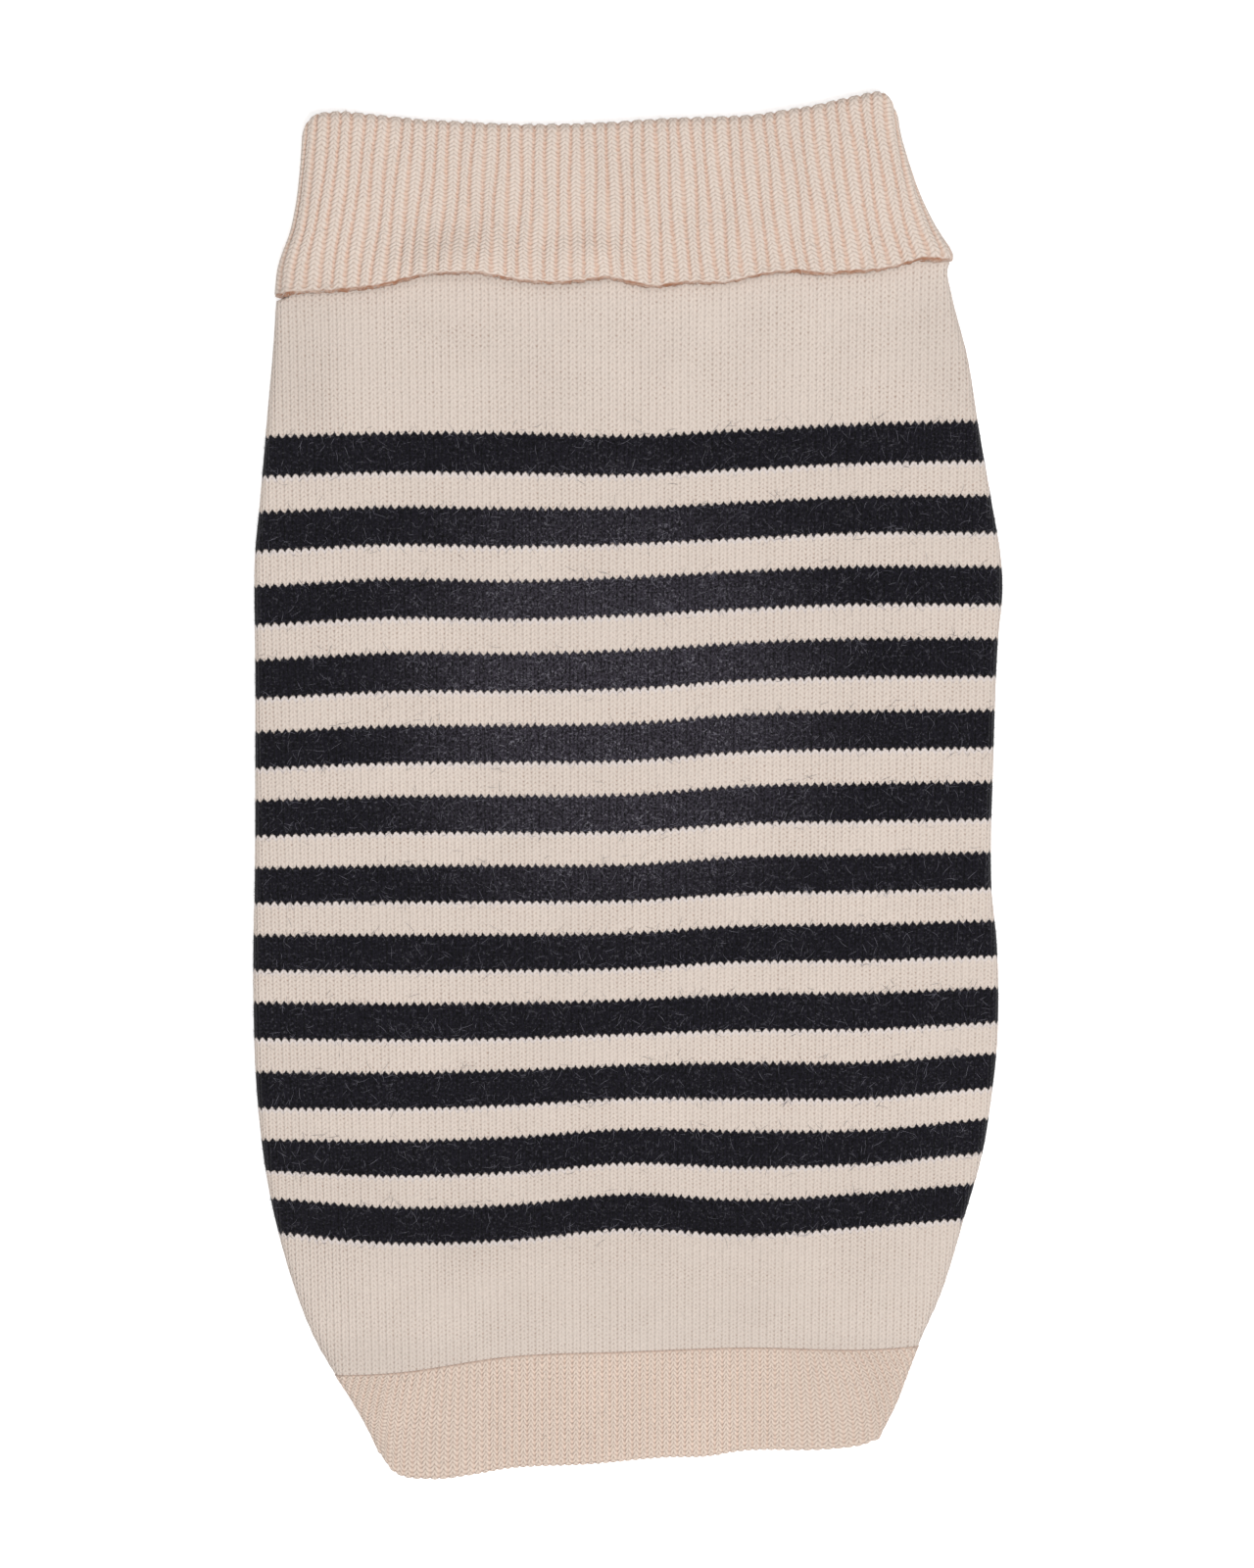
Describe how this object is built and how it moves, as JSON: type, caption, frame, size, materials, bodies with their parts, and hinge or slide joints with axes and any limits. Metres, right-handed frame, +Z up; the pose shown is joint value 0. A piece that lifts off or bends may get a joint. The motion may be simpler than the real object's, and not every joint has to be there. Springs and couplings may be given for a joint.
{
  "type": "dog sweater",
  "caption": "Knitted pet sweater lying flat: striped body tube with leg openings, turned-down ribbed collar and ribbed hem band.",
  "frame": {"origin": "on the surface the sweater lies on, below the middle of its bounding box", "axes": "+Y towards the neck, +X to the right of the back as it lies, +Z up out of the back panel"},
  "size_m": [0.2294, 0.4248, 0.0141],
  "materials": {
    "striped_knit": "matt plain knit in cream with navy stripes, soft fuzzy face",
    "cream_rib": "matt one-by-one rib knit in cream, soft fuzzy face"
  },
  "bodies": {
    "root": {"back_panel": "striped_knit", "belly_panel": "striped_knit", "collar": "cream_rib", "hem_band": "cream_rib", "leg_band_left": "cream_rib", "leg_band_right": "cream_rib"}
  },
  "joints": []
}
